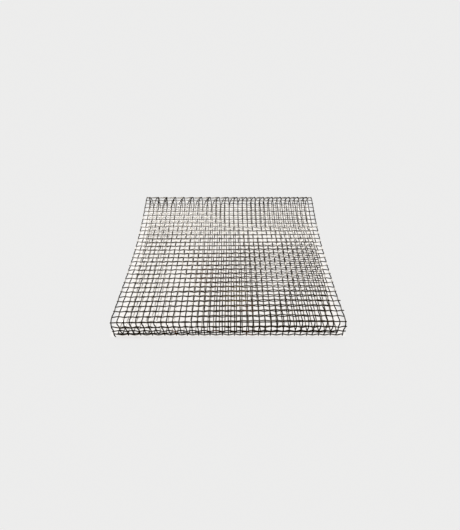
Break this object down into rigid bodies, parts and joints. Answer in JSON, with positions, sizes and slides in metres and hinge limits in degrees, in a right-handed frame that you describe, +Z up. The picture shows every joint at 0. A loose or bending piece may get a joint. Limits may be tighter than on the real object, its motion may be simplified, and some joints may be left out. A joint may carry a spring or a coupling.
{
  "type": "wire gauze",
  "caption": "Plain-woven steel wire gauze folded into a flat open-ended sleeve, with a dished top, a tight front edge, a raised rounded rear fold and a seam under the front.",
  "frame": {"origin": "centre of the bounding box at its bottom, on the surface that the sleeve lies on", "axes": "+X across the sleeve along the weft wires, +Y from the front face to the rear fold, +Z up"},
  "size_m": [0.0984, 0.0804, 0.0115],
  "materials": {
    "warp_wire": "drawn steel wire dulled dark by heat, bright on the crowns, with brown and olive heat stains in places",
    "weft_wire": "drawn steel wire dulled dark by heat, bright on the crowns, with brown and olive heat stains in places"
  },
  "bodies": {
    "root": {"warp_wire_01": "warp_wire", "warp_wire_02": "warp_wire", "warp_wire_03": "warp_wire", "warp_wire_04": "warp_wire", "warp_wire_05": "warp_wire", "warp_wire_06": "warp_wire", "warp_wire_07": "warp_wire", "warp_wire_08": "warp_wire", "warp_wire_09": "warp_wire", "warp_wire_10": "warp_wire", "warp_wire_11": "warp_wire", "warp_wire_12": "warp_wire", "warp_wire_13": "warp_wire", "warp_wire_14": "warp_wire", "warp_wire_15": "warp_wire", "warp_wire_16": "warp_wire", "warp_wire_17": "warp_wire", "warp_wire_18": "warp_wire", "warp_wire_19": "warp_wire", "warp_wire_20": "warp_wire", "warp_wire_21": "warp_wire", "warp_wire_22": "warp_wire", "warp_wire_23": "warp_wire", "warp_wire_24": "warp_wire", "warp_wire_25": "warp_wire", "warp_wire_26": "warp_wire", "warp_wire_27": "warp_wire", "warp_wire_28": "warp_wire", "warp_wire_29": "warp_wire", "warp_wire_30": "warp_wire", "warp_wire_31": "warp_wire", "warp_wire_32": "warp_wire", "warp_wire_33": "warp_wire", "warp_wire_34": "warp_wire", "warp_wire_35": "warp_wire", "warp_wire_36": "warp_wire", "warp_wire_37": "warp_wire", "warp_wire_38": "warp_wire", "warp_wire_39": "warp_wire", "weft_wires_01": "weft_wire", "weft_wires_02": "weft_wire", "weft_wires_03": "weft_wire", "weft_wires_04": "weft_wire", "weft_wires_05": "weft_wire", "weft_wires_06": "weft_wire", "weft_wires_07": "weft_wire", "weft_wires_08": "weft_wire", "weft_wires_09": "weft_wire", "weft_wires_10": "weft_wire", "weft_wires_11": "weft_wire", "weft_wires_12": "weft_wire", "weft_wires_13": "weft_wire", "weft_wires_14": "weft_wire", "weft_wires_15": "weft_wire", "weft_wires_16": "weft_wire", "weft_wires_17": "weft_wire"}
  },
  "joints": []
}
